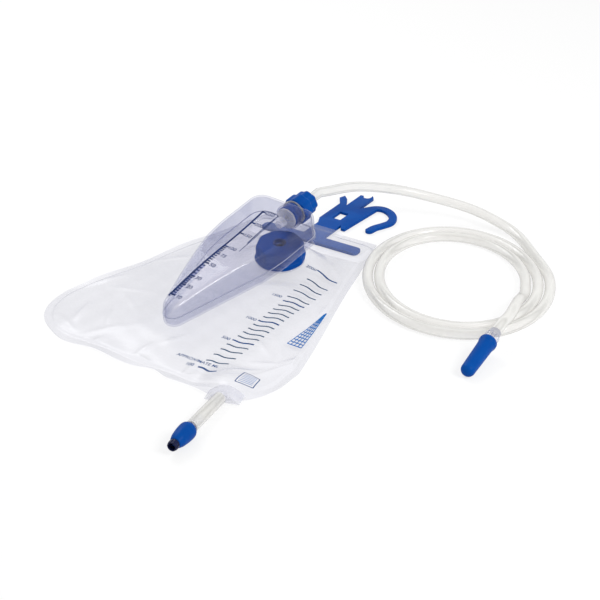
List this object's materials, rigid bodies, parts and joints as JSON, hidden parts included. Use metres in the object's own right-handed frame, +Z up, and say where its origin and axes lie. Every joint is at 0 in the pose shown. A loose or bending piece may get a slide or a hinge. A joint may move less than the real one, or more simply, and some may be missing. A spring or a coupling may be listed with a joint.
{
  "type": "urine drainage bag",
  "caption": "Flat clear drainage bag with a blue hanger, a clear measuring chamber on a swivel knob, a coiled inlet tube with a capped connector, and a push-pull drain valve.",
  "frame": {"origin": "On the floor under the middle of the bag's own box, tube and connector left out.", "axes": "The bag lies on its back film. X runs across it with the drain port and the hook on +X, +Y runs up the bag to its hanger, +Z is up through the measuring chamber."},
  "size_m": [0.3935, 0.4872, 0.0648],
  "materials": {
    "bag_film": "clear flexible PVC film, faintly lavender",
    "clear_moulding": "clear rigid moulding, polished",
    "tube": "milky flexible PVC tube",
    "blue_moulding": "royal blue moulded polyolefin, soft gloss",
    "navy_moulding": "near-black navy moulding, soft gloss",
    "seal_rubber": "translucent silicone rubber"
  },
  "bodies": {
    "bag": {"bag_back_film": "bag_film", "bag_front_film": "bag_film", "hanger": "blue_moulding", "bag_inlet_flange": "clear_moulding", "coupling_seal": "seal_rubber", "anti_reflux_flap": "bag_film", "outlet_port": "clear_moulding", "drain_tube": "tube", "valve_stem": "clear_moulding", "valve_o_ring": "seal_rubber", "inlet_tube": "tube", "catheter_connector": "clear_moulding"},
    "chamber": {"chamber_front_shell": "clear_moulding", "chamber_back_shell": "clear_moulding", "coupling_knob": "blue_moulding", "inlet_gasket": "seal_rubber", "inlet_cap": "blue_moulding", "drip_nozzle": "clear_moulding"},
    "valve": {"valve_sleeve": "blue_moulding", "valve_nozzle": "navy_moulding"},
    "cap": {"connector_cap": "blue_moulding"}
  },
  "joints": [
    {"name": "chamber_swivel", "type": "hinge", "parent": "bag", "child": "chamber", "pos_m": [0.0126, 0.05254, 0.0289], "axis": [0.047, -0.1239, 0.9912], "range_deg": [-45, 45]},
    {"name": "valve_slide", "type": "slide", "parent": "bag", "child": "valve", "axis": [0.1391, -0.9895, 0.0384], "range_m": [0, 0.006]},
    {"name": "cap_pull", "type": "slide", "parent": "bag", "child": "cap", "axis": [0.0172, -0.987, -0.1599], "range_m": [0, 0.032]}
  ]
}
